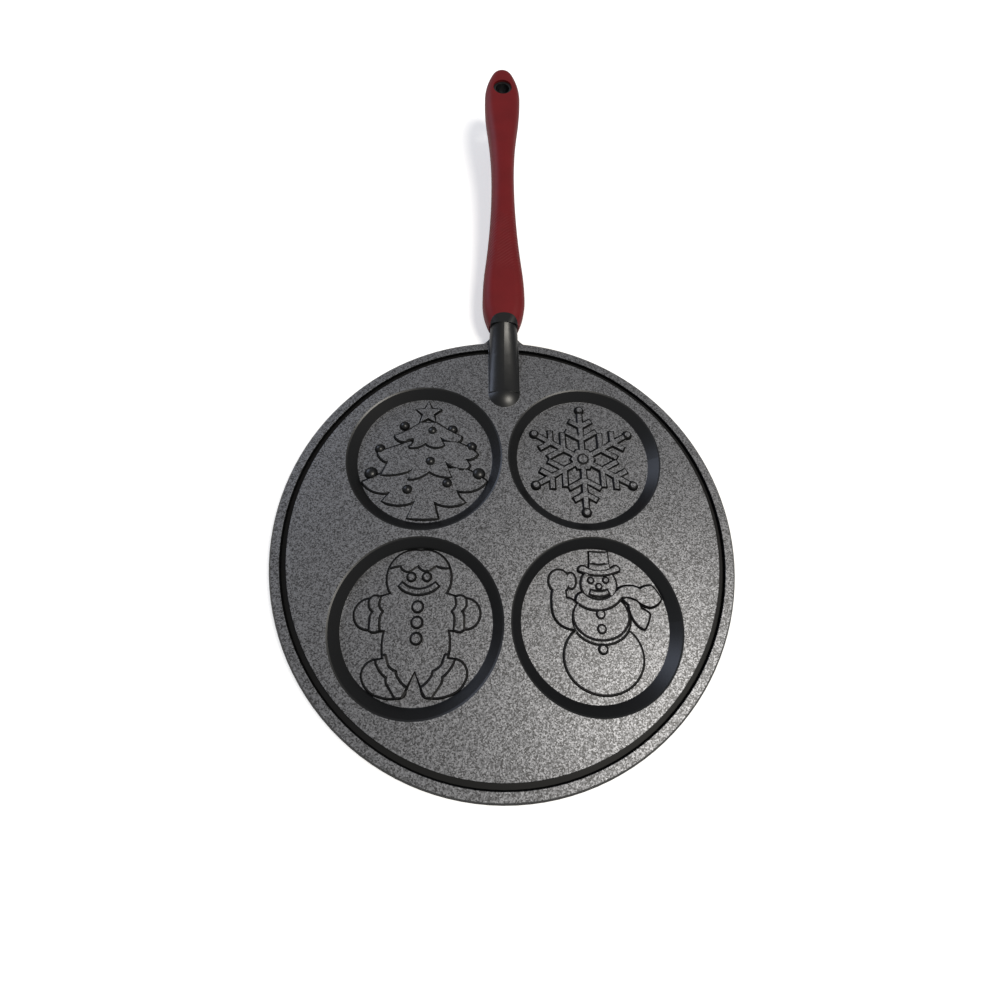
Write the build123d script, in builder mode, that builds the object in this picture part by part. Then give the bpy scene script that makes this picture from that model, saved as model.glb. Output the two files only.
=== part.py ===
from build123d import *
from math import cos, radians, sin, tan
import os

os.makedirs("parts", exist_ok=True)

# Pancake griddle: a round cast aluminium plate with four shallow wells, each with a raised
# figure on its floor, and a straight handle with a red soft grip that rises away from the plate.
# Millimetres. The origin is the centre of the flat underside, +Y runs along the handle, +Z is up.

# Driving dimensions of the plate
RIM_R = 101.5
BASE_R = 91.0
BASE_BEVEL = 1.2
PLATE_TOP = 8.0
RIM_UNDERSIDE = 4.2
RIM_FOOT_R = 97.5
RIM_CHAMFER = 0.9
GROOVE_OUTER_R = 97.1
GROOVE_INNER_R = 94.3
GROOVE_DEPTH = 1.8
TURNED_RING_R = (30.0, 60.0)
TURNED_RING_WIDTH = 1.2
TURNED_RING_DEPTH = 0.4

# Driving dimensions of the wells
WELL_SPACING = 75.0
WELL_R = 36.2
FLOOR_R = 31.6
WELL_DEPTH = 4.5
WELL_LIP = 0.7
FLOOR_Z = PLATE_TOP - WELL_DEPTH
WELL_PLACES = [
    (x * WELL_SPACING / 2, y * WELL_SPACING / 2, PLATE_TOP) for y in (1, -1) for x in (-1, 1)
]

# Heights of the relief over the well floor
LOW = 0.6
MID = 0.9
HIGH = 1.2
DOT = 1.5
DOT_DRAFT = 22.0
STAR_X, STAR_Y = 0.4, 24.0
STAR_R = 6.2
STAR_INNER_R = 2.7
FLAKE_R = 26.5
FLAKE_HEART_R = 5.6
FLAKE_LINE = 2.0
FLAKE_BRANCHES = ((10.5, 8.5), (17.5, 6.0))

# Driving dimensions of the tongue and neck that carry the handle
TONGUE_TIP_Y = 71.0
TONGUE_HALF_WIDTH = 7.8
TONGUE_TIP_HEIGHT = 2.6
TIP_DOME_R = (TONGUE_HALF_WIDTH**2 + TONGUE_TIP_HEIGHT**2) / (2 * TONGUE_TIP_HEIGHT)
NECK_HALF_WIDTH = 7.0
NECK_HALF_HEIGHT = 7.2
GROOVE_PLUG_DEPTH = 2.6
NECK_FLARE_HALF_WIDTH = 15.0
NECK_FLARE_FROM_Y = 98.0
NECK_FLARE_MIDDLE = (8.9, 101.4)
NECK_FLARE_END = (5.8, 106.0)

# The tongue's sections: y, half width, half height and height of its middle over the plate
TONGUE_SECTIONS = (
    (TONGUE_TIP_Y, TONGUE_HALF_WIDTH - 0.1, TONGUE_TIP_HEIGHT - 0.1, 0.0),
    (90.0, 7.7, 4.6, 0.2),
    (99.0, 7.4, 5.8, 1.6),
)

# Driving dimensions of the handle, along its own axis
HANDLE_RISE = 7.0
JOINT_Y = 107.0
JOINT_Z = PLATE_TOP + 3.5
SKIN = 1.6
ARCH_LENGTH = 5.5
TANG_WIDTH = 9.0
TANG_HEIGHT = 6.0
TANG_END = 44.0
SOCKET_PLAY = 0.1
SCREW_AT = 17.0
SCREW_SHANK_R = 2.4
SCREW_HEAD_R = 4.2
SCREW_HEAD_HEIGHT = 2.1
SCREW_RECESS_R = 4.8
WASHER_SEAT = 4.2
PLAIN_WASHER = 0.7
SPRING_WASHER = 1.0
SPRING_WASHER_GAP = 14.0
HANG_HOLE_AT = 156.0
HANG_HOLE_R = 4.0
HANG_BUSH_R = 5.4
HANG_BUSH_HALF_LENGTH = 6.1

# The grip's outline seen from above: half width and distance from the joint
GRIP_FRONT = (7.7, 0.0)
GRIP_WIDEST = (11.0, 15.0)
GRIP_WAIST = (6.3, 92.0)
GRIP_PALM = (10.3, 152.0)
GRIP_END = 173.0
GRIP_THICKNESS = 14.6
GRIP_ROUND = 5.6
NOSE_R = 7.0
CORE_BEVEL = 2.6

rise = radians(HANDLE_RISE)
AXIS = Vector(0, cos(rise), sin(rise))
UP = Vector(0, -sin(rise), cos(rise))
JOINT = Vector(0, JOINT_Y, JOINT_Z)


def across_handle(distance):
    """Plane square to the handle's axis, at a distance from the joint."""
    return Plane(origin=JOINT + AXIS * distance, x_dir=(-1, 0, 0), z_dir=AXIS)


def over_handle(distance, height=0.0):
    """Plane along the handle's axis, facing the handle's upper side."""
    return Plane(origin=JOINT + AXIS * distance + UP * height, x_dir=(1, 0, 0), z_dir=UP)


def under_handle(distance, depth=0.0):
    """Plane along the handle's axis, facing the handle's underside."""
    return Plane(origin=JOINT + AXIS * distance - UP * depth, x_dir=(1, 0, 0), z_dir=-UP)


def between(start, end, share):
    """Point on the line from start to end."""
    return start[0] + (end[0] - start[0]) * share, start[1] + (end[1] - start[1]) * share


def grip_outline(inset):
    """Half outline of tangent arcs, drawn in by inset and mirrored about the handle's middle."""
    front, widest, waist, palm = (
        (half_width - inset, y) for half_width, y in (GRIP_FRONT, GRIP_WIDEST, GRIP_WAIST, GRIP_PALM)
    )
    nose_r = NOSE_R - inset
    hip = between(widest, waist, 0.25)
    bell = between(waist, palm, 0.65)
    tail = GRIP_END - NOSE_R - palm[1]
    side_r = (palm[0] ** 2 + tail**2 - nose_r**2) / (2 * (palm[0] - nose_r))
    nose_x = nose_r * (side_r - palm[0]) / (side_r - nose_r)
    nose_start = (nose_x, GRIP_END - NOSE_R + nose_r * tail / (side_r - nose_r))
    Line((0, front[1]), front)
    TangentArc(widest, front, tangent=(0, -1))
    shoulder = TangentArc(widest, hip, tangent=(0, 1))
    TangentArc(hip, waist, tangent=shoulder % 1)
    swell = TangentArc(waist, bell, tangent=(0, 1))
    TangentArc(bell, palm, tangent=swell % 1)
    side = TangentArc(palm, nose_start, tangent=(0, 1))
    TangentArc(nose_start, (0, GRIP_END - inset), tangent=side % 1)
    mirror(about=Plane.YZ)


def long_edges(form):
    """Edges round the upper and lower face, apart from the front ones."""
    faces = form.faces().sort_by(Axis(JOINT, UP))
    edges = faces[0].edges() + faces[-1].edges()
    return edges.filter_by(lambda edge: (edge.center() - JOINT).dot(AXIS) > 0.5)


# Outer form of the grip, from which the skin, the core and the neck's rounded end are cut
with BuildPart() as grip_form:
    with BuildSketch(over_handle(0)):
        with BuildLine():
            grip_outline(0)
        make_face()
    extrude(amount=GRIP_THICKNESS / 2, both=True)
    fillet(long_edges(grip_form), GRIP_ROUND)

with BuildPart() as core_form:
    with BuildSketch(over_handle(0)):
        with BuildLine():
            grip_outline(SKIN)
        make_face()
    extrude(amount=GRIP_THICKNESS / 2 - SKIN, both=True)
    chamfer(long_edges(core_form), CORE_BEVEL)

# Upright arch in which the neck ends and around which the grip closes
with BuildPart() as arch_form:
    with BuildSketch(over_handle(0)):
        Ellipse(NECK_HALF_WIDTH, ARCH_LENGTH)
    extrude(amount=2 * NECK_HALF_HEIGHT, both=True)


def arc_outline(points):
    """Closed outline: x, y and the rise of the arc to the next point, to the left of the way."""
    for start, end in zip(points, points[1:] + points[:1]):
        arc_step(start, end)


def arc_chain(points):
    """Open chain of the same steps."""
    for start, end in zip(points, points[1:]):
        arc_step(start, end)


def arc_step(start, end):
    """Line or arc from one outline point to the next."""
    if start[2]:
        SagittaArc(start[:2], end[:2], start[2])
    else:
        Line(start[:2], end[:2])


def well_floor(column, row):
    """Plane on a well's floor, with column and row -1 or 1."""
    return Plane(origin=(column * WELL_SPACING / 2, row * WELL_SPACING / 2, FLOOR_Z))


def plateau(plane, points, height):
    """Raised area with an outline of arcs."""
    with BuildSketch(plane) as area:
        with BuildLine():
            arc_outline(points)
        make_face()
    extrude(area.sketch, amount=height)


def discs(plane, places, radius, height):
    """Round raised dots with bevelled sides."""
    with BuildSketch(plane) as area:
        with Locations(*places):
            Circle(radius)
    extrude(area.sketch, amount=height, taper=DOT_DRAFT)


def ridge(plane, start, end, rise, width, height):
    """Curved raised line of even width."""
    with BuildSketch(plane) as area:
        with BuildLine():
            SagittaArc(start, end, rise)
        trace(line_width=width)
    extrude(area.sketch, amount=height)


def fir_tree(plane):
    """Fir tree of three tiers, each standing over the one below, with a star and baubles."""
    trunk = [(-3.2, -20.0, 0), (-6.8, -29.4, -0.3), (6.8, -29.4, 0), (4.2, -20.0, 0)]
    low_tier = [
        (-17.0, -6.5, 0), (-28.2, -12.4, -2.2), (-15.0, -17.0, 0), (-18.5, -21.4, -2.0),
        (-3.0, -20.8, -1.6), (4.2, -21.2, -2.0), (18.9, -21.8, 0.8), (14.8, -15.8, -2.4),
        (28.8, -11.6, -0.6), (17.5, -5.0, 0),
    ]
    middle_tier = [
        (-8.0, 8.2, 0), (-22.3, 2.6, -1.0), (-17.2, -2.2, 0), (-19.8, -8.6, -0.9),
        (-5.7, -5.9, 0), (-7.0, -10.8, -0.9), (2.0, -6.7, -0.9), (12.2, -9.4, 0),
        (9.3, -1.5, -1.0), (18.0, -5.2, -0.8), (20.7, -3.4, 0), (19.0, -0.4, -0.8),
        (24.5, 2.2, -0.8), (13.5, 8.4, 0),
    ]
    top_tier = [
        (-3.0, 18.4, 0.6), (-14.9, 11.2, -0.9), (-9.8, 8.5, 0.6), (-5.8, 9.9, 0.7),
        (-7.6, 5.4, -0.9), (-0.3, 7.7, -1.6), (8.4, 6.6, 0), (6.4, 10.9, -0.6),
        (14.0, 8.4, -0.9), (16.6, 11.2, 0.5), (4.6, 18.4, 0),
    ]
    plateau(plane, trunk, LOW)
    plateau(plane, low_tier, LOW)
    plateau(plane, middle_tier, MID)
    plateau(plane, top_tier, HIGH)
    star = []
    for turn in range(5):
        for radius, angle in ((STAR_R, 90 + 72 * turn), (STAR_INNER_R, 126 + 72 * turn)):
            x, y = radius * cos(radians(angle)), STAR_Y + radius * sin(radians(angle))
            star.append((STAR_X + x, y, 0))
    plateau(plane, star, MID)
    small = [
        (-10.8, 16.9), (2.8, 14.3), (12.4, 15.2), (-21.6, 4.6), (21.8, 6.2),
        (2.4, -1.6), (-7.6, -15.8), (10.6, -12.6),
    ]
    discs(plane, small, 1.9, DOT)
    discs(plane, [(-24.8, -7.8), (25.2, -7.8)], 2.5, DOT)


def gingerbread(plane):
    """Gingerbread figure with icing on its head, cuffs and boots, and three buttons."""
    right_half = [
        (0.0, -18.0, 0), (3.7, -25.4, -0.9), (6.2, -27.6, -0.5), (13.5, -27.0, -1.4),
        (20.6, -20.2, -1.5), (16.2, -14.3, 0), (12.7, -13.6, -0.6), (12.8, -2.4, 0),
        (16.0, -2.5, -0.7), (19.5, -1.9, -6.2), (19.8, 9.8, -0.8), (16.4, 10.6, 0),
        (11.2, 12.2, -1.3), (12.7, 22.8, -2.8), (0.0, 30.3, 0),
    ]
    fringe = [
        (-14.0, 22.4, 0.6), (-7.8, 24.2, -0.9), (-4.2, 22.0, 0), (-0.4, 24.6, -0.9),
        (3.8, 22.2, 0), (7.0, 24.4, -0.6), (14.0, 23.6, 0), (14.0, 31.5, 0), (-14.0, 31.5, 0),
    ]
    cuff = [
        (15.6, 11.5, 0.3), (16.6, 7.6, 0.3), (14.9, 4.9, 0.3), (16.0, 2.0, 0.3), (15.2, -4.0, 0),
        (19.2, -4.0, 0), (19.1, 2.2, -0.3), (17.9, 5.0, -0.3), (19.9, 7.4, -0.3), (19.3, 11.5, 0),
    ]
    boot_top = [
        (12.3, -12.5, 0), (11.2, -16.0, 0.4), (7.7, -18.6, 0.3), (6.7, -21.2, 0.3), (3.0, -24.6, 0),
        (6.0, -29.0, 0), (10.2, -23.0, -0.3), (10.6, -20.3, -0.3), (14.0, -17.0, -0.3),
        (16.0, -12.5, 0),
    ]

    with BuildSketch() as figure:
        with BuildLine():
            arc_chain(right_half)
            mirror(about=Plane.YZ)
        make_face()
    bands = [fringe] + [
        [(side * x, y, side * rise) for x, y, rise in band] for band in (cuff, boot_top) for side in (1, -1)
    ]
    with BuildSketch(plane) as whole:
        add(figure.sketch)
    extrude(whole.sketch, amount=LOW)
    for band in bands:
        with BuildSketch(plane) as icing:
            with BuildLine():
                arc_outline(band)
            make_face()
            add(figure.sketch, mode=Mode.INTERSECT)
        extrude(icing.sketch, amount=MID)
    discs(plane, [(-3.3, 19.2), (3.3, 19.2)], 1.9, DOT)
    discs(plane, [(0, 6.8), (0, 0.5), (0, -5.9)], 2.35, DOT)
    ridge(plane, (-7.6, 15.9), (7.6, 15.9), -3.0, 1.6, HIGH)


def snowman(plane):
    """Snowman with a top hat, a scarf in the wind and one arm raised."""
    with BuildSketch(plane) as belly:
        with Locations((2.4, -13.6)):
            Ellipse(16.2, 14.0)
        with Locations((-14.6, 17.4)):
            Ellipse(4.2, 4.6)
        with Locations((-9.4, 17.6)):
            Ellipse(1.7, 3.0)
    extrude(belly.sketch, amount=LOW)
    arm = [
        (-7.5, 7.0, -0.8), (-12.0, 10.0, 0), (-12.4, 14.0, 0), (-17.4, 13.6, 0.9),
        (-17.8, 5.6, 1.2), (-12.5, -1.6, 0), (-7.5, -2.4, 0),
    ]
    short_tail = [
        (12.6, 10.6, -0.3), (15.2, 7.6, 0.5), (16.4, 1.8, 0.3), (20.6, -2.6, 0), (23.4, 3.2, 0),
        (20.2, 5.4, 0), (18.8, 8.6, 0),
    ]
    plateau(plane, arm, LOW)
    plateau(plane, short_tail, LOW)
    with BuildSketch(plane) as chest:
        with Locations((2.5, 1.2)):
            Ellipse(12.1, 9.6)
    extrude(chest.sketch, amount=(LOW + MID) / 2)
    with BuildSketch(plane) as head:
        with Locations((2.5, 2.6)):
            Ellipse(11.5, 9.2)
        with Locations((2.6, 15.8)):
            Ellipse(7.4, 7.2)
    extrude(head.sketch, amount=MID)
    scarf = [
        (-4.8, 12.2, -3.4), (9.8, 12.6, -0.7), (15.6, 14.9, -0.5), (20.4, 13.6, 0.5), (25.6, 15.0, 0),
        (29.0, 9.6, -0.9), (24.0, 6.4, 0.5), (18.4, 9.4, -0.6), (11.8, 10.4, 4.2), (-7.6, 8.8, 0.9),
    ]
    crown = [(-0.8, 22.0, 0), (-0.5, 30.0, -0.3), (7.4, 29.8, 0), (7.6, 22.0, 0)]
    hat_band = [(-1.0, 22.8, -0.9), (7.8, 22.8, 0), (7.7, 24.8, 0.9), (-0.9, 24.8, 0)]
    brim = [(-5.6, 22.0, -1.9), (12.0, 22.0, -1.1), (9.6, 23.0, 1.4), (-2.6, 23.0, -1.1)]
    plateau(plane, scarf, HIGH)
    plateau(plane, crown, MID)
    plateau(plane, hat_band, HIGH)
    plateau(plane, brim, HIGH)
    discs(plane, [(-0.9, 17.6), (5.7, 17.6), (2.5, 15.0)], 1.45, DOT)
    discs(plane, [(2.3, 3.4), (2.3, -2.6), (2.2, -10.6)], 1.9, DOT)
    ridge(plane, (-1.2, 12.6), (6.2, 12.6), -0.8, 1.3, HIGH)


def snowflake(plane):
    """Six-armed snowflake with two pairs of branches on each arm."""
    with BuildSketch(plane) as flake:
        with BuildLine():
            for arm in range(6):
                turn = Vector(0, 1).rotate(Axis.Z, 60 * arm)
                Line((0, 0), turn * FLAKE_R)
                for start, length in FLAKE_BRANCHES:
                    for side in (-1, 1):
                        tip = turn * start + turn.rotate(Axis.Z, 60 * side) * length
                        Line(turn * start, tip)
        trace(line_width=FLAKE_LINE)
        RegularPolygon(FLAKE_HEART_R, 6)
    extrude(flake.sketch, amount=MID)
    tips = [Vector(0, 1).rotate(Axis.Z, 60 * arm) * FLAKE_R for arm in range(6)]
    discs(plane, tips, 1.9, DOT)
    discs(plane, [(0, 0)], 2.6, DOT)


# Hollow of one well: a drafted wall with a small chamfer at its lip
with BuildPart() as well_form:
    with BuildSketch(Plane.XZ):
        with BuildLine():
            Polyline(
                (0, -WELL_DEPTH),
                (FLOOR_R, -WELL_DEPTH),
                (WELL_R - WELL_LIP, -WELL_LIP * 0.5),
                (WELL_R, 0),
                (WELL_R, 1),
                (0, 1),
                close=True,
            )
        make_face()
    revolve(axis=Axis.Z)

# The casting: plate, groove, rim, tongue, neck and the flat tang hidden in the handle
with BuildPart() as pan_casting:
    with BuildSketch(Plane.XZ):
        with BuildLine():
            Polyline(
                (0, 0),
                (BASE_R, 0),
                (BASE_R + BASE_BEVEL, BASE_BEVEL),
                (RIM_FOOT_R, RIM_UNDERSIDE),
                (RIM_R - RIM_CHAMFER, RIM_UNDERSIDE),
                (RIM_R, RIM_UNDERSIDE + RIM_CHAMFER),
                (RIM_R, PLATE_TOP - RIM_CHAMFER),
                (RIM_R - RIM_CHAMFER, PLATE_TOP),
                (GROOVE_OUTER_R, PLATE_TOP),
                (GROOVE_OUTER_R - 0.4, PLATE_TOP - GROOVE_DEPTH),
                (GROOVE_INNER_R + 0.4, PLATE_TOP - GROOVE_DEPTH),
                (GROOVE_INNER_R, PLATE_TOP),
                (0, PLATE_TOP),
                (0, 0),
            )
        make_face()
    revolve(axis=Axis.Z)

    with Locations(*WELL_PLACES):
        add(well_form.part, mode=Mode.SUBTRACT)
    fir_tree(well_floor(-1, 1))
    snowflake(well_floor(1, 1))
    gingerbread(well_floor(-1, -1))
    snowman(well_floor(1, -1))

    # Tongue on the plate, rising into the neck; a pad under it closes the groove
    with BuildSketch(Plane.XY.offset(PLATE_TOP - GROOVE_PLUG_DEPTH)):
        with Locations((0, (TONGUE_TIP_Y + GROOVE_OUTER_R) / 2)):
            Rectangle(2 * TONGUE_HALF_WIDTH, GROOVE_OUTER_R - TONGUE_TIP_Y)
    extrude(amount=GROOVE_PLUG_DEPTH)
    for y, half_width, half_height, middle in TONGUE_SECTIONS:
        with BuildSketch(Plane(origin=(0, y, PLATE_TOP + middle), x_dir=(-1, 0, 0), z_dir=(0, 1, 0))):
            Ellipse(half_width, half_height)
    with BuildSketch(across_handle(0)):
        Ellipse(NECK_HALF_WIDTH, NECK_HALF_HEIGHT)
    loft()
    with BuildSketch(Plane(origin=(0, TONGUE_TIP_Y, PLATE_TOP), x_dir=(1, 0, 0), z_dir=(0, -1, 0))):
        with BuildLine():
            RadiusArc((0, TONGUE_TIP_HEIGHT), (TONGUE_HALF_WIDTH, 0), TIP_DOME_R)
            Polyline((TONGUE_HALF_WIDTH, 0), (TONGUE_HALF_WIDTH, -1), (0, -1), (0, TONGUE_TIP_HEIGHT))
        make_face()
    revolve(axis=Axis((0, TONGUE_TIP_Y, 0), (0, 0, 1)))

    # Flare where the neck leaves the rim
    with BuildSketch(Plane.XY.offset(RIM_UNDERSIDE)):
        with BuildLine():
            Line((0, NECK_FLARE_FROM_Y), (NECK_FLARE_HALF_WIDTH, NECK_FLARE_FROM_Y))
            ThreePointArc(
                (NECK_FLARE_HALF_WIDTH, NECK_FLARE_FROM_Y), NECK_FLARE_MIDDLE, NECK_FLARE_END
            )
            Line(NECK_FLARE_END, (0, NECK_FLARE_END[1]))
            mirror(about=Plane.YZ)
        make_face()
    extrude(amount=PLATE_TOP - RIM_UNDERSIDE)

    # Rounded end of the neck, flush with the grip, and the tang with its tapped hole
    add(grip_form.part.intersect(arch_form.part))
    with BuildSketch(across_handle(-2)):
        Rectangle(TANG_WIDTH, TANG_HEIGHT)
    extrude(amount=TANG_END + 2)
    with Locations(under_handle(SCREW_AT, TANG_HEIGHT / 2)):
        Hole(SCREW_SHANK_R, TANG_HEIGHT)

    # Turned rings on the underside
    with BuildSketch():
        for radius in TURNED_RING_R:
            Circle(radius + TURNED_RING_WIDTH / 2)
            Circle(radius - TURNED_RING_WIDTH / 2, mode=Mode.SUBTRACT)
    extrude(amount=TURNED_RING_DEPTH, mode=Mode.SUBTRACT)

# Stiff moulded core of the handle, with the socket for the tang
with BuildPart() as handle_core:
    add(core_form.part)
    add(arch_form.part, mode=Mode.SUBTRACT)
    with BuildSketch(across_handle(-2)):
        Rectangle(TANG_WIDTH + 2 * SOCKET_PLAY, TANG_HEIGHT + 2 * SOCKET_PLAY)
    extrude(amount=TANG_END + 2 + 1, mode=Mode.SUBTRACT)
    with Locations(under_handle(SCREW_AT, WASHER_SEAT)):
        Cylinder(SCREW_RECESS_R, 12, align=(Align.CENTER, Align.CENTER, Align.MIN), mode=Mode.SUBTRACT)
    with Locations(under_handle(SCREW_AT, 0)):
        Cylinder(SCREW_SHANK_R + 0.2, 12, align=(Align.CENTER, Align.CENTER, Align.MIN), mode=Mode.SUBTRACT)
    with Locations(over_handle(HANG_HOLE_AT)):
        Cylinder(HANG_BUSH_R, 40, mode=Mode.SUBTRACT)

# Red soft skin moulded over the core
with BuildPart() as soft_grip:
    add(grip_form.part)
    add(core_form.part, mode=Mode.SUBTRACT)
    add(arch_form.part, mode=Mode.SUBTRACT)
    with Locations(under_handle(SCREW_AT, WASHER_SEAT)):
        Cylinder(SCREW_RECESS_R, 12, align=(Align.CENTER, Align.CENTER, Align.MIN), mode=Mode.SUBTRACT)
    with Locations(over_handle(HANG_HOLE_AT)):
        Cylinder(HANG_BUSH_R, 40, mode=Mode.SUBTRACT)

# Collar that lines the hang hole
with BuildPart() as hang_bush:
    with BuildSketch(over_handle(HANG_HOLE_AT)):
        Circle(HANG_BUSH_R)
        Circle(HANG_HOLE_R, mode=Mode.SUBTRACT)
    extrude(amount=HANG_BUSH_HALF_LENGTH, both=True)

# Screw from below through the core into the tang, with its two washers
with BuildPart() as plain_washer:
    with BuildSketch(under_handle(SCREW_AT, WASHER_SEAT)):
        Circle(SCREW_HEAD_R)
        Circle(SCREW_SHANK_R + 0.15, mode=Mode.SUBTRACT)
    extrude(amount=PLAIN_WASHER)

with BuildPart() as spring_washer:
    with BuildSketch(under_handle(SCREW_AT, WASHER_SEAT + PLAIN_WASHER)):
        Circle(SCREW_HEAD_R - 0.3)
        Circle(SCREW_SHANK_R + 0.15, mode=Mode.SUBTRACT)
        with Locations((SCREW_SHANK_R + 0.9, 0)):
            Rectangle(2.4, 0.6, rotation=SPRING_WASHER_GAP, mode=Mode.SUBTRACT)
    extrude(amount=SPRING_WASHER)

with BuildPart() as tang_screw:
    with BuildSketch(under_handle(SCREW_AT, -TANG_HEIGHT / 2 + 0.4)):
        Circle(SCREW_SHANK_R - 0.02)
    extrude(amount=TANG_HEIGHT / 2 - 0.4 + WASHER_SEAT + PLAIN_WASHER + SPRING_WASHER)
    with BuildSketch(under_handle(SCREW_AT, WASHER_SEAT + PLAIN_WASHER + SPRING_WASHER)):
        Circle(SCREW_HEAD_R)
    extrude(amount=SCREW_HEAD_HEIGHT)
    top = tang_screw.faces().sort_by(Axis(JOINT, -UP))[-1]
    chamfer(top.edges(), 0.6)
    with BuildSketch(under_handle(SCREW_AT, WASHER_SEAT + PLAIN_WASHER + SPRING_WASHER + SCREW_HEAD_HEIGHT)):
        Rectangle(4.6, 0.9)
        Rectangle(0.9, 4.6)
    extrude(amount=-1.3, mode=Mode.SUBTRACT)

pieces = {
    "pan_casting": pan_casting,
    "handle_core": handle_core,
    "soft_grip": soft_grip,
    "hang_bush": hang_bush,
    "plain_washer": plain_washer,
    "spring_washer": spring_washer,
    "tang_screw": tang_screw,
}
for name, piece in pieces.items():
    piece.part.label = name
    export_step(piece.part, f"parts/{name}.step")
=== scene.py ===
"""Pancake griddle: a cast aluminium plate with four figured wells and a handle with a red soft grip."""

import math

import bmesh
import bpy
from mathutils import Matrix, Vector
from mathutils.bvhtree import BVHTree


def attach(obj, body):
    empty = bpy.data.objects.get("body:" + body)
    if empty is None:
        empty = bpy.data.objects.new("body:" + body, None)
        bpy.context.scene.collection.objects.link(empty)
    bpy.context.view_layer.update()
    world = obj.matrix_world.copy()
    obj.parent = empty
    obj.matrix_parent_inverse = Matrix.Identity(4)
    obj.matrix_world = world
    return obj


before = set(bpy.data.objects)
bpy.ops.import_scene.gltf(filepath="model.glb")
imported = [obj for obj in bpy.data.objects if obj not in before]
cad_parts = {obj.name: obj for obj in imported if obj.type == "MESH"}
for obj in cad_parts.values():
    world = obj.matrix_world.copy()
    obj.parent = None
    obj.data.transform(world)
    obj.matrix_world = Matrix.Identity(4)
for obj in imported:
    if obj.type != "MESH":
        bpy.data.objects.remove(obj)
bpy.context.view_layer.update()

# Casting: plate, rim, wells, raised figures, tongue and neck are one piece of pressure-cast aluminium.
# It is blasted and sprayed with a charcoal non-stick coat full of fine metal flakes. The flakes lie in
# the flat places; the drafted walls and the tongue get a smooth near-black coat, on the walls partly
# painted shade, and the corners and the groove get painted shade, nearly black.
MM = 0.001
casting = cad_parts["pan_casting"]


def linear(colour):
    """sRGB hex colour as linear RGBA."""
    parts = [int(colour[i : i + 2], 16) / 255 for i in (1, 3, 5)]
    return [p / 12.92 if p <= 0.04045 else ((p + 0.055) / 1.055) ** 2.4 for p in parts] + [1.0]


def add_node(tree, kind, inputs=None, **settings):
    """Adds one shader node; an input is a plain value or another node's output.

    An input goes by its name, or by its number where several inputs share one name.
    """
    node = tree.nodes.new("ShaderNode" + kind)
    for name, value in settings.items():
        setattr(node, name, value)
    for name, value in (inputs or {}).items():
        if isinstance(value, bpy.types.NodeSocket):
            tree.links.new(value, node.inputs[name])
        else:
            node.inputs[name].default_value = value
    return node


def new_material(name):
    """A material whose node tree is still empty."""
    material = bpy.data.materials.new(name)
    material.use_nodes = True
    material.node_tree.nodes.clear()
    return material


# Sockets of a Mix node that mixes two colours
FACTOR, FIRST_COLOUR, SECOND_COLOUR = 0, 6, 7
MIXED_COLOUR = 2

# Sprayed non-stick with metal flakes: a dark grey speckle with a soft metallic sparkle over fine grit.
# Real flakes are finer than these, which are drawn as coarse as they need to be to show.
FLAKE = 0.46 * MM
BARE_CELLS = 0.1
FLAKE_METAL = 0.75
GRIT = 0.5 * MM
GRIT_DEPTH = 0.1 * MM
EDGE_ROUND = 0.28 * MM
flaked = new_material("sprayed_nonstick_with_metal_flakes")
tree = flaked.node_tree
place = add_node(tree, "TexCoord").outputs["Object"]
cells = add_node(tree, "TexVoronoi", {"Vector": place, "Scale": 1 / FLAKE}, feature="F1")
cell_value = add_node(tree, "SeparateColor", {"Color": cells.outputs["Color"]}).outputs["Red"]
# The cells go evenly from bare charcoal binder to a flake that lies flat
flake_share = add_node(
    tree, "MapRange", {"Value": cell_value, "From Min": BARE_CELLS, "From Max": 1.0}
).outputs["Result"]
speckled = add_node(
    tree,
    "Mix",
    {FACTOR: flake_share, FIRST_COLOUR: linear("#252527"), SECOND_COLOUR: linear("#85868a")},
    data_type="RGBA",
).outputs[MIXED_COLOUR]
metal_share = add_node(tree, "Math", {0: flake_share, 1: FLAKE_METAL}, operation="MULTIPLY").outputs[0]
soft_edge = add_node(tree, "Bevel", {"Radius": EDGE_ROUND}, samples=4).outputs["Normal"]
grit_height = add_node(
    tree, "TexNoise", {"Vector": place, "Scale": 1 / GRIT, "Detail": 1.0}
).outputs["Fac"]
gritty = add_node(
    tree,
    "Bump",
    {"Strength": 0.35, "Distance": GRIT_DEPTH, "Height": grit_height, "Normal": soft_edge},
).outputs["Normal"]
surface = add_node(
    tree,
    "BsdfPrincipled",
    {"Base Color": speckled, "Metallic": metal_share, "Roughness": 0.43, "Normal": gritty},
)
add_node(tree, "OutputMaterial", {"Surface": surface.outputs["BSDF"]})

# The same spray where it ran smooth on the draft, with a soft shine and rounded edges. Its near-black
# colour is partly painted shade: on the steep walls it stands in for the shade that falls there.
smooth_coat_and_wall_shade = new_material("smooth_nonstick_and_painted_wall_shade")
tree = smooth_coat_and_wall_shade.node_tree
soft_edge = add_node(tree, "Bevel", {"Radius": EDGE_ROUND}, samples=4).outputs["Normal"]
surface = add_node(
    tree,
    "BsdfPrincipled",
    {"Base Color": linear("#060709"), "Roughness": 0.36, "Normal": soft_edge},
)
add_node(tree, "OutputMaterial", {"Surface": surface.outputs["BSDF"]})

# Painted shade: a dull, nearly black material that stands in for the shade in the run-off groove, in the
# corners and on the sides of the figures, so that corners read as black lines.
painted_shade_coat = new_material("painted_shade_in_corners")
tree = painted_shade_coat.node_tree
surface = add_node(
    tree,
    "BsdfPrincipled",
    {"Base Color": linear("#030304"), "Roughness": 0.55, "Specular IOR Level": 0.2},
)
add_node(tree, "OutputMaterial", {"Surface": surface.outputs["BSDF"]})
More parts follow.
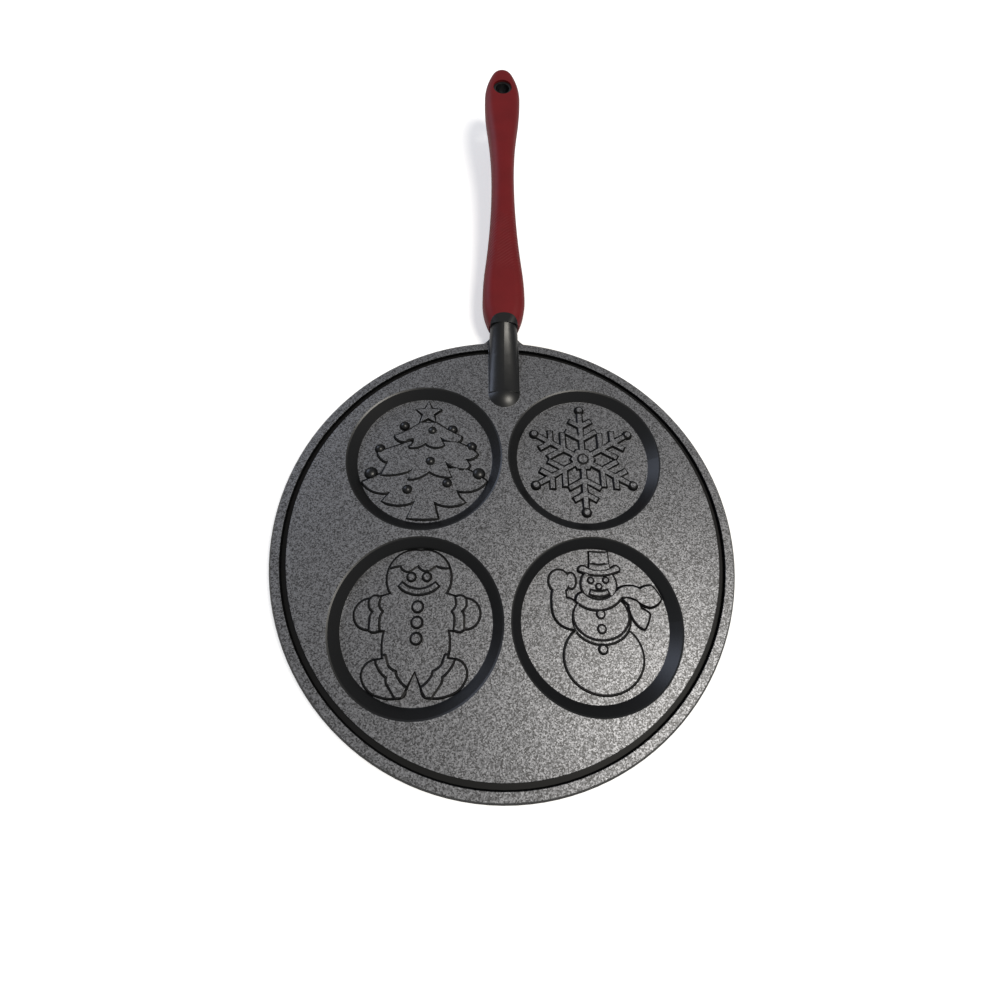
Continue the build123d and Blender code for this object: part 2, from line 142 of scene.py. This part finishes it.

# Painted shade in the run-off groove, flaked coat on all that is level, smooth near-black coat, partly
# painted shade, on the rest
GROOVE_FROM, GROOVE_TO = 93.8 * MM, 97.6 * MM
GROOVE_BELOW = 7 * MM
TONGUE_ABOVE = 8.15 * MM
LEVEL = 0.97
FLAKED, SMOOTH_AND_WALL_SHADE, PAINTED_SHADE = range(3)
casting.data.materials.clear()
for coat in (flaked, smooth_coat_and_wall_shade, painted_shade_coat):
    casting.data.materials.append(coat)
for face in casting.data.polygons:
    over_groove = GROOVE_FROM < face.center.xy.length < GROOVE_TO
    painted_groove_shade = over_groove and face.center.z < GROOVE_BELOW and face.normal.z > 0
    is_level = abs(face.normal.z) > LEVEL and face.center.z < TONGUE_ABOVE
    face.material_index = PAINTED_SHADE if painted_groove_shade else FLAKED if is_level else SMOOTH_AND_WALL_SHADE

# Snowman's scarf, with one long and one short end in the wind, and its raised arm: the steps of that
# figure that overlap the others. They are cast with the plate and have the same coat on top; their sides
# are painted shade, nearly black.
WELL_AT = 37.5 * MM
WELL_FLOOR = 3.5 * MM
SNOWMAN_AT = Vector((WELL_AT, -WELL_AT))
ARC_STEPS = 8
SCARF_STEP = 1.28 * MM
LOW_STEP = 0.68 * MM
SIDE_SLOPE = 0.5


def arc_points(start, end, rise):
    """Points from start to just before end, on an arc that rises to the left of the way."""
    half = (end - start) / 2
    if not rise:
        return [start]
    left = Vector((-half.y, half.x)).normalized()
    radius = (half.length_squared + rise**2) / (2 * rise)
    centre = start + half + left * (rise - radius)
    sweep = -2 * math.asin(half.length / radius)
    turns = (Matrix.Rotation(sweep * step / ARC_STEPS, 2) for step in range(ARC_STEPS))
    return [centre + turn @ (start - centre) for turn in turns]


def new_object(name, form, *materials):
    """Puts a finished bmesh into the scene as an object at the origin."""
    mesh = bpy.data.meshes.new(name)
    form.to_mesh(mesh)
    form.free()
    for material in materials:
        mesh.materials.append(material)
    made = bpy.data.objects.new(name, mesh)
    bpy.context.scene.collection.objects.link(made)
    return made


# Each corner is x, y and the rise of the arc to the next corner, in millimetres from the well's middle
scarf = (
    (-4.8, 12.2, -3.4), (9.8, 12.6, 0.7), (15.6, 14.9, 0.5), (20.4, 13.6, 0.5), (25.6, 15.0, 0.3),
    (29.0, 9.6, 0.7), (24.0, 6.4, 0.5), (18.4, 9.4, -0.6), (11.8, 10.4, 4.2), (-7.6, 8.8, 0.9),
)
short_end = (
    (12.6, 10.6, -0.3), (15.2, 7.6, -0.4), (16.4, 1.8, -0.6), (20.6, -2.6, -0.3), (23.4, 3.2, -0.3),
    (20.2, 5.4, 0), (18.8, 8.6, 0),
)
arm = (
    (-7.5, 7.0, -0.8), (-12.0, 10.0, 0), (-12.4, 14.0, 0), (-17.4, 13.6, -0.3), (-17.8, 5.6, -1.4),
    (-12.5, -1.6, -0.3), (-7.5, -2.4, 0),
)
steps = bmesh.new()
for corners, height in ((scarf, SCARF_STEP), (short_end, LOW_STEP), (arm, LOW_STEP)):
    outline = []
    for corner, following in zip(corners, corners[1:] + corners[:1]):
        outline += arc_points(Vector(corner[:2]), Vector(following[:2]), corner[2])
    ring = [steps.verts.new((*(SNOWMAN_AT + point * MM), WELL_FLOOR)) for point in outline]
    foot = steps.faces.new(ring)
    lifted = bmesh.ops.extrude_face_region(steps, geom=[foot], use_keep_orig=True)["geom"]
    risen = [item for item in lifted if isinstance(item, bmesh.types.BMVert)]
    bmesh.ops.translate(steps, verts=risen, vec=(0, 0, height))
bmesh.ops.recalc_face_normals(steps, faces=steps.faces)
TOP_COAT, SIDE_SHADE = range(2)
# Level tops take the flaked coat; the sides take the nearly black painted shade
for face in steps.faces:
    face.material_index = TOP_COAT if abs(face.normal.z) > SIDE_SLOPE else SIDE_SHADE
covered = BVHTree.FromBMesh(steps)
scarf_and_arm = new_object("snowman_scarf_and_arm", steps, flaked, painted_shade_coat)
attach(scarf_and_arm, "root")

# Painted shade round the figures: the sides of the raised figures and the buttons are drafted so that
# the casting leaves its mould. A nearly black sheet over these sides, reaching a little out over the
# floor at their feet, paints the shade there, so each figure stands in a dark line.
FIGURE_WITHIN = 31.3 * MM
FIGURE_FROM, FIGURE_TO = 3 * MM, 5.2 * MM
WALL_SHADE_SPREAD = 1.05 * MM
PIP_SHADE_SPREAD = 0.65 * MM
PIP_SLOPE = 0.2
WALL_PROBE = 0.15 * MM
WALL_LIP = 0.04 * MM
SAME_POINT = 0.001 * MM
NO_WAY_OUT = 0.01


def is_figure_side(face):
    """Whether this face of the casting is a figure's side that no step lies over."""
    middle = face.calc_center_median()
    well = Vector((math.copysign(WELL_AT, middle.x), math.copysign(WELL_AT, middle.y)))
    if abs(face.normal.z) > SIDE_SLOPE or (middle.xy - well).length >= FIGURE_WITHIN:
        return False
    if not FIGURE_FROM < middle.z < FIGURE_TO:
        return False
    beside = middle + face.normal * WALL_PROBE
    above = covered.ray_cast(beside + Vector((0, 0, 1)), Vector((0, 0, -1)))[0]
    return above is None or above.z <= max(corner.co.z for corner in face.verts)


walls = bmesh.new()
walls.from_mesh(casting.data)
bmesh.ops.remove_doubles(walls, verts=walls.verts, dist=SAME_POINT)
others = [face for face in walls.faces if not is_figure_side(face)]
bmesh.ops.delete(walls, geom=others, context="FACES")
walls.from_mesh(scarf_and_arm.data)
walls.normal_update()
tops_and_feet = [face for face in walls.faces if abs(face.normal.z) > SIDE_SLOPE]
bmesh.ops.delete(walls, geom=tops_and_feet, context="FACES")
walls.normal_update()
raised = bmesh.ops.extrude_face_region(walls, geom=walls.faces[:], use_keep_orig=True)["geom"]
outer_faces = {item for item in raised if isinstance(item, bmesh.types.BMFace)}
outer = [item for item in raised if isinstance(item, bmesh.types.BMVert)]
# Feet and ways are all measured before the first point moves, because moving one tilts its faces
feet = {}
ways = {}
for vert in outer:
    linked = [face for face in vert.link_faces if face in outer_faces]
    feet[vert] = min(corner.co.z for face in linked for corner in face.verts)
    way = sum((face.normal.xy.normalized() for face in linked), Vector((0, 0)))
    spread = PIP_SHADE_SPREAD if max(face.normal.z for face in linked) > PIP_SLOPE else WALL_SHADE_SPREAD
    ways[vert] = way.normalized() * spread if way.length > NO_WAY_OUT else Vector((0, 0))
for vert in outer:
    vert.co.z = min(vert.co.z, feet[vert] + WALL_LIP)
    vert.co.xy += ways[vert]
bmesh.ops.recalc_face_normals(walls, faces=walls.faces)
for face in walls.faces:
    face.material_index = 0
# The whole sheet is painted shade, nearly black
painted_shade_round_figures = new_object("painted_shade_round_figures", walls, painted_shade_coat)
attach(painted_shade_round_figures, "root")

# Baubles on the fir tree: round pips of the same aluminium, cast with the plate, that stand a little
# over the branches. They get the smooth near-black material of the drafted walls.
PIP_R = 2.15 * MM
PIP_HEIGHT = 2.0 * MM
LARGE = 1.34
TREE_AT = Vector((-WELL_AT, WELL_AT))
pips = bmesh.new()
# Each bauble is x and y, in millimetres from the well's middle, and its size against the others
for x, y, share in (
    (-10.8, 16.9, 1), (2.8, 14.3, 1), (12.4, 15.2, 1), (-21.6, 4.6, 1), (21.8, 6.2, 1),
    (2.4, -1.6, 1), (-7.6, -15.8, 1), (10.6, -12.6, 1), (-24.8, -7.8, LARGE), (25.2, -7.8, LARGE),
):
    size = Matrix.Diagonal((PIP_R * share, PIP_R * share, PIP_HEIGHT, 1))
    seat = Matrix.Translation((TREE_AT.x + x * MM, TREE_AT.y + y * MM, WELL_FLOOR))
    bmesh.ops.create_uvsphere(pips, u_segments=28, v_segments=14, radius=1, matrix=seat @ size)
for face in pips.faces:
    face.smooth = True
tree_baubles = new_object("tree_baubles", pips, smooth_coat_and_wall_shade)
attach(tree_baubles, "root")

# Handle core and the collar in its hang hole: glass-filled nylon, moulded in black, satin from the tool.
# The core shows only in the screw's recess and at the end of the skin.
core_nylon = new_material("glass_filled_nylon_moulded")
tree = core_nylon.node_tree
surface = add_node(
    tree, "BsdfPrincipled", {"Base Color": linear("#131315"), "Roughness": 0.42, "IOR": 1.53}
)
add_node(tree, "OutputMaterial", {"Surface": surface.outputs["BSDF"]})
for name in ("handle_core", "hang_bush"):
    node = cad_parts[name]
    node.data.materials.clear()
    node.data.materials.append(core_nylon)

# Grip: a skin of dark red thermoplastic rubber moulded over the core. It is satin, with fine slanted
# ribs from the tool on the upper side where the thumb lies.
RIB_PITCH = 1.5 * MM
RIB_DEPTH = 0.16 * MM
RIB_SLANT = math.radians(52)
RIBS_FROM, RIBS_TO = 134 * MM, 178 * MM
RIBS_FADE = 9 * MM
TONE_PATCH = 9 * MM
# A wave texture of scale 1 repeats after this distance
WAVE_LENGTH = 0.314
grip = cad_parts["soft_grip"]
grip_rubber = new_material("thermoplastic_rubber_overmoulded")
tree = grip_rubber.node_tree
place = add_node(tree, "TexCoord").outputs["Object"]
slanted = add_node(tree, "Mapping", {"Vector": place, "Rotation": (0, 0, RIB_SLANT)}).outputs["Vector"]
ribs = add_node(
    tree,
    "TexWave",
    {"Vector": slanted, "Scale": WAVE_LENGTH / RIB_PITCH, "Distortion": 0.0},
    wave_type="BANDS",
    bands_direction="X",
    wave_profile="SIN",
).outputs["Fac"]
tone = add_node(
    tree, "TexNoise", {"Vector": place, "Scale": 1 / TONE_PATCH, "Detail": 2.0}
).outputs["Fac"]
red = add_node(
    tree,
    "Mix",
    {FACTOR: tone, FIRST_COLOUR: linear("#5e0f13"), SECOND_COLOUR: linear("#701418")},
    data_type="RGBA",
).outputs[MIXED_COLOUR]
along = add_node(tree, "SeparateXYZ", {"Vector": place}).outputs["Y"]
starts = add_node(
    tree, "MapRange", {"Value": along, "From Min": RIBS_FROM, "From Max": RIBS_FROM + RIBS_FADE}
).outputs["Result"]
ends = add_node(
    tree, "MapRange", {"Value": along, "From Min": RIBS_TO, "From Max": RIBS_TO - RIBS_FADE}
).outputs["Result"]
patch = add_node(tree, "Math", {0: starts, 1: ends}, operation="MULTIPLY").outputs[0]
rib_height = add_node(tree, "Math", {0: ribs, 1: patch}, operation="MULTIPLY").outputs[0]
ribbed = add_node(
    tree, "Bump", {"Strength": 0.8, "Distance": RIB_DEPTH, "Height": rib_height}
).outputs["Normal"]
surface = add_node(
    tree,
    "BsdfPrincipled",
    {"Base Color": red, "Roughness": 0.52, "Specular IOR Level": 0.22, "Normal": ribbed},
)
add_node(tree, "OutputMaterial", {"Surface": surface.outputs["BSDF"]})
grip.data.materials.clear()
grip.data.materials.append(grip_rubber)

# Screw and its two washers hold the handle to the tang from below. They are turned and stamped steel
# with a zinc plating, pale grey with a soft metal shine.
plated_steel = new_material("zinc_plated_steel_turned")
tree = plated_steel.node_tree
surface = add_node(
    tree,
    "BsdfPrincipled",
    {"Base Color": linear("#b9bbbe"), "Metallic": 1.0, "Roughness": 0.32},
)
add_node(tree, "OutputMaterial", {"Surface": surface.outputs["BSDF"]})
for name in ("plain_washer", "spring_washer", "tang_screw"):
    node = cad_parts[name]
    node.data.materials.clear()
    node.data.materials.append(plated_steel)

# Studio floor: one plain sheet of matt white paper under the griddle, just clear of its underside. It
# keeps the griddle's shadow, and a glow that only the camera sees brings the rest of it to white.
FLOOR_HALF = 1.2
FLOOR_GAP = 0.1 * MM
FLOOR_GLOW = 0.4
white_paper = new_material("white_paper_matt")
tree = white_paper.node_tree
matt = add_node(tree, "BsdfDiffuse", {"Color": linear("#f2f2f2")}).outputs["BSDF"]
seen = add_node(tree, "LightPath").outputs["Is Camera Ray"]
glow = add_node(
    tree, "Emission", {"Color": linear("#ffffff"), "Strength": FLOOR_GLOW}
).outputs["Emission"]
glowing = add_node(tree, "AddShader", {0: matt, 1: glow}).outputs["Shader"]
paper = add_node(tree, "MixShader", {0: seen, 1: matt, 2: glowing}).outputs["Shader"]
add_node(tree, "OutputMaterial", {"Surface": paper})
sheet = bmesh.new()
bmesh.ops.create_grid(sheet, x_segments=1, y_segments=1, size=FLOOR_HALF)
bmesh.ops.translate(sheet, verts=sheet.verts, vec=(0, 0, -FLOOR_GAP))
floor = new_object("floor", sheet, white_paper)

# Studio light: a soft box up on the right, whose sheen crosses the plate from the lower right, a weak
# wide one on the left, and an even surround that is dim as light and white to the camera.
for name, spot, size, watts, tint in (
    ("key", Vector((0.47, -0.13, 1.14)), 0.45, 10.8, "#fffaf0"),
    ("fill", Vector((-0.95, 0.8, 0.63)), 0.8, 5.5, "#d8e4ff"),
):
    lamp = bpy.data.lights.new(name, "AREA")
    lamp.shape = "DISK"
    lamp.size = size
    lamp.energy = watts
    lamp.color = linear(tint)[:3]
    light = bpy.data.objects.new(name, lamp)
    bpy.context.scene.collection.objects.link(light)
    light.location = spot
    light.rotation_euler = (-spot).to_track_quat("-Z", "Y").to_euler()
surround = bpy.data.worlds.new("surround")
bpy.context.scene.world = surround
surround.use_nodes = True
tree = surround.node_tree
tree.nodes.clear()
seen = add_node(tree, "LightPath").outputs["Is Camera Ray"]
dim = add_node(tree, "Background", {"Color": linear("#ffffff"), "Strength": 0.3}).outputs[0]
white = add_node(tree, "Background", {"Color": linear("#ffffff"), "Strength": 1.0}).outputs[0]
shown = add_node(tree, "MixShader", {0: seen, 1: dim, 2: white}).outputs[0]
add_node(tree, "OutputWorld", {"Surface": shown})

# Camera: a wide view from in front and above, turned a little about its own axis. It looks at a point
# over the plate, between its middle and the handle.
AZIMUTH, ELEVATION, ROLL = math.radians(-6.82), math.radians(66.6), math.radians(6.8)
LOOK_AT = Vector((-2.41, 35.12, 8.0)) * MM
DISTANCE = 240.2 * MM
back = Vector(
    (
        math.sin(AZIMUTH) * math.cos(ELEVATION),
        -math.cos(AZIMUTH) * math.cos(ELEVATION),
        math.sin(ELEVATION),
    )
)
sideways = Vector((math.cos(AZIMUTH), math.sin(AZIMUTH), 0))
right = Matrix.Rotation(ROLL, 3, back) @ sideways
up = back.cross(right)
lens = bpy.data.cameras.new("camera")
lens.sensor_width = 36.0
lens.lens = 18.52
lens.shift_y = -0.04
lens.clip_start = 0.01
camera = bpy.data.objects.new("camera", lens)
bpy.context.scene.collection.objects.link(camera)
turned = Matrix((right, up, back)).transposed().to_4x4()
camera.matrix_world = Matrix.Translation(LOOK_AT + back * DISTANCE) @ turned
bpy.context.scene.camera = camera
bpy.context.scene.view_settings.view_transform = "Standard"
